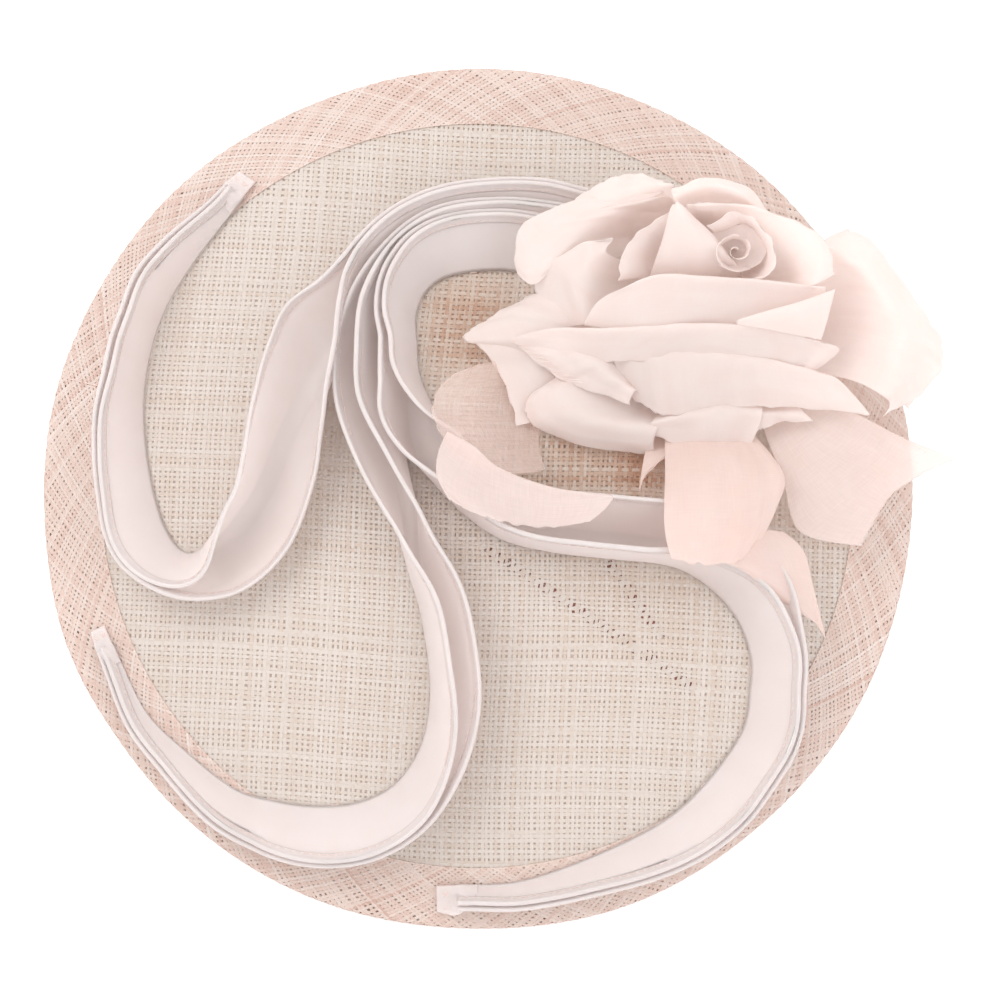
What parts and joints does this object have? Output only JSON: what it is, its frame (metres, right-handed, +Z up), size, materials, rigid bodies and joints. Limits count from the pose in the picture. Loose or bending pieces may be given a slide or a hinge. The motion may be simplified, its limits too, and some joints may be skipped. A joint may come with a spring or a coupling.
{
  "type": "fascinator headpiece",
  "caption": "Domed two-layer straw-weave disc with a wired, bound rim, three standing satin bands, a large organza rose with leaves, and a head pad with a hinged slide comb underneath.",
  "frame": {"origin": "middle of the head pad's lower face, where the disc rests on the head", "axes": "+Z up through the disc's crown, +Y away from the comb's spine, +X towards the rose"},
  "size_m": [0.3051, 0.3004, 0.0724],
  "materials": {
    "sinamay_straw": "matte",
    "sinamay_binding": "matte",
    "millinery_wire": "satin",
    "band_satin": "satin",
    "sewing_thread": "satin",
    "pad_fabric": "matte",
    "pad_foam": "matte",
    "comb_plastic": "satin",
    "leaf_organza": "satin",
    "petal_organza": "satin",
    "buckram": "matte"
  },
  "bodies": {
    "hat": {"band_left_cover": "band_satin", "band_left_far_wire": "millinery_wire", "band_left_near_wire": "millinery_wire", "band_left_tack_stitches": "sewing_thread", "band_lower_cover": "band_satin", "band_lower_far_wire": "millinery_wire", "band_lower_near_wire": "millinery_wire", "band_lower_tack_stitches": "sewing_thread", "band_right_cover": "band_satin", "band_right_far_wire": "millinery_wire", "band_right_near_wire": "millinery_wire", "band_right_tack_stitches": "sewing_thread", "binding_seam_stitches": "sewing_thread", "brim_wire": "millinery_wire", "comb_thread_loops": "sewing_thread", "edge_binding": "sinamay_binding", "head_pad_core": "pad_foam", "head_pad_cover": "pad_fabric", "head_pad_stitches": "sewing_thread", "leaf_left": "leaf_organza", "leaf_lower_left": "leaf_organza", "leaf_lower_right": "leaf_organza", "leaf_right": "leaf_organza", "rose_back_petal": "petal_organza", "rose_back_rolled_petal": "petal_organza", "rose_backing": "buckram", "rose_bud_inner_petal": "petal_organza", "rose_bud_outer_petal": "petal_organza", "rose_bud_point_petal": "petal_organza", "rose_core": "petal_organza", "rose_front_curled_petal": "petal_organza", "rose_front_lit_petal": "petal_organza", "rose_front_lower_petal": "petal_organza", "rose_front_second_petal": "petal_organza", "rose_left_inner_petal": "petal_organza", "rose_left_lower_petal": "petal_organza", "rose_left_middle_petal": "petal_organza", "rose_left_tip_petal": "petal_organza", "rose_right_inner_petal": "petal_organza", "rose_right_large_petal": "petal_organza", "rose_right_outer_petal": "petal_organza", "rose_stitches": "sewing_thread", "sinamay_under_layer": "sinamay_straw", "sinamay_upper_layer": "sinamay_straw", "wire_ferrule": "millinery_wire"},
    "comb": {"slide_comb": "comb_plastic"}
  },
  "joints": [
    {"name": "comb_hinge", "type": "hinge", "parent": "hat", "child": "comb", "pos_m": [0, -0.026, -0.0032], "axis": [-1, 0, 0], "range_deg": [0, 40]}
  ]
}
